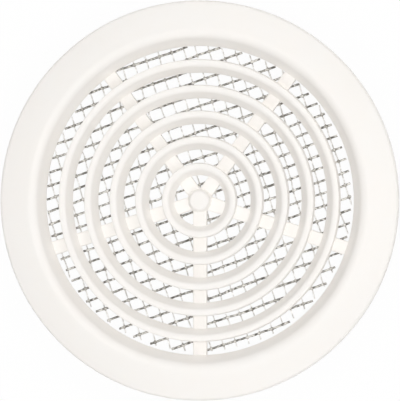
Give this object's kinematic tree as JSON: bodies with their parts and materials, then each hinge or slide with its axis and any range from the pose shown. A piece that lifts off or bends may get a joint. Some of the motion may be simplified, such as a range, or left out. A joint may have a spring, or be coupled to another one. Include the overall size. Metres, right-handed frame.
{
  "type": "round vent cover",
  "caption": "Round moulded vent cover: sloped flange, concentric sloped rings on flat spokes, short push-in collar, and a galvanised wire screen behind the grille.",
  "frame": {"origin": "on the grille's axis, in the plane where the flange's edge meets the wall", "axes": "+Z out of the wall, -Y along one spoke, +X to the right seen from the front"},
  "size_m": [0.125, 0.125, 0.0132],
  "materials": {
    "white_plastic": "moulded white plastic, satin",
    "screen_wire": "galvanised steel wire, dull"
  },
  "bodies": {
    "root": {"grille_cover": "white_plastic", "screen_warp_wires": "screen_wire", "screen_weft_wires": "screen_wire"}
  },
  "joints": []
}
